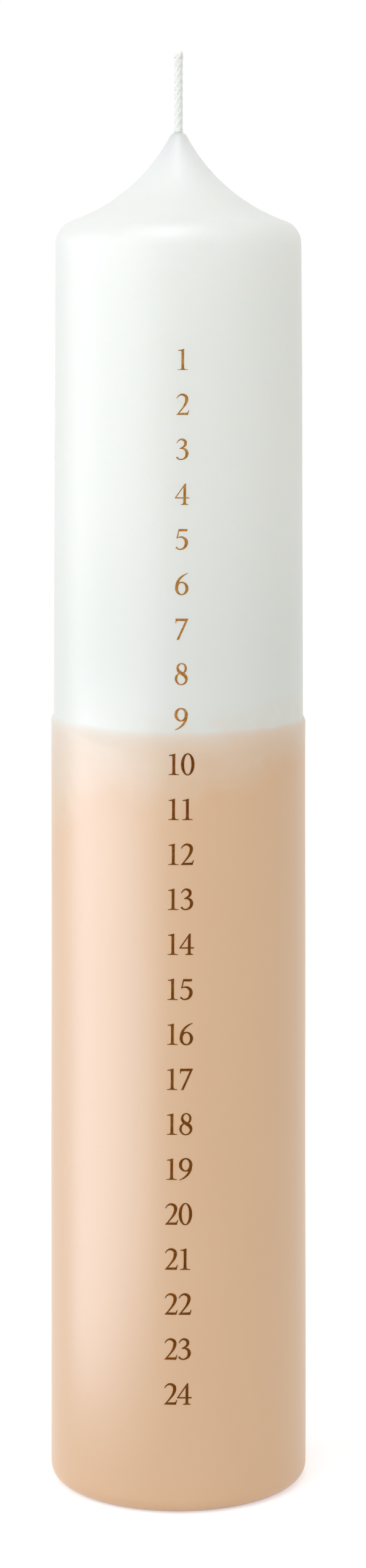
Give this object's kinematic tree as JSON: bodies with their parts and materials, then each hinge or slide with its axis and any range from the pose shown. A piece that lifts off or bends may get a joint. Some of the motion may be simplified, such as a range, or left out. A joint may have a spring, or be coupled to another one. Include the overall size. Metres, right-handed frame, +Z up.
{
  "type": "calendar candle",
  "caption": "Tall white wax pillar candle, dipped in blush wax over its lower part, with a hollow-sided tip, a braided wick and a column of gold numerals that count off days as it burns.",
  "frame": {"origin": "centre of the flat base, on the surface that the candle stands on", "axes": "+Z up along the wick, -Y out of the side with the numerals, +X to the right seen from that side"},
  "size_m": [0.055, 0.0551, 0.3075],
  "materials": {
    "wax_white": "satin wax, translucent",
    "wax_blush": "satin dyed wax",
    "wick_cotton": "braided cotton",
    "foil_gold": "matt bronze-gold foil"
  },
  "bodies": {
    "root": {"wax_core": "wax_white", "dip_coat": "wax_blush", "wick": "wick_cotton", "numeral_01": "foil_gold", "numeral_02": "foil_gold", "numeral_03": "foil_gold", "numeral_04": "foil_gold", "numeral_05": "foil_gold", "numeral_06": "foil_gold", "numeral_07": "foil_gold", "numeral_08": "foil_gold", "numeral_09": "foil_gold", "numeral_10": "foil_gold", "numeral_11": "foil_gold", "numeral_12": "foil_gold", "numeral_13": "foil_gold", "numeral_14": "foil_gold", "numeral_15": "foil_gold", "numeral_16": "foil_gold", "numeral_17": "foil_gold", "numeral_18": "foil_gold", "numeral_19": "foil_gold", "numeral_20": "foil_gold", "numeral_21": "foil_gold", "numeral_22": "foil_gold", "numeral_23": "foil_gold", "numeral_24": "foil_gold"}
  },
  "joints": []
}
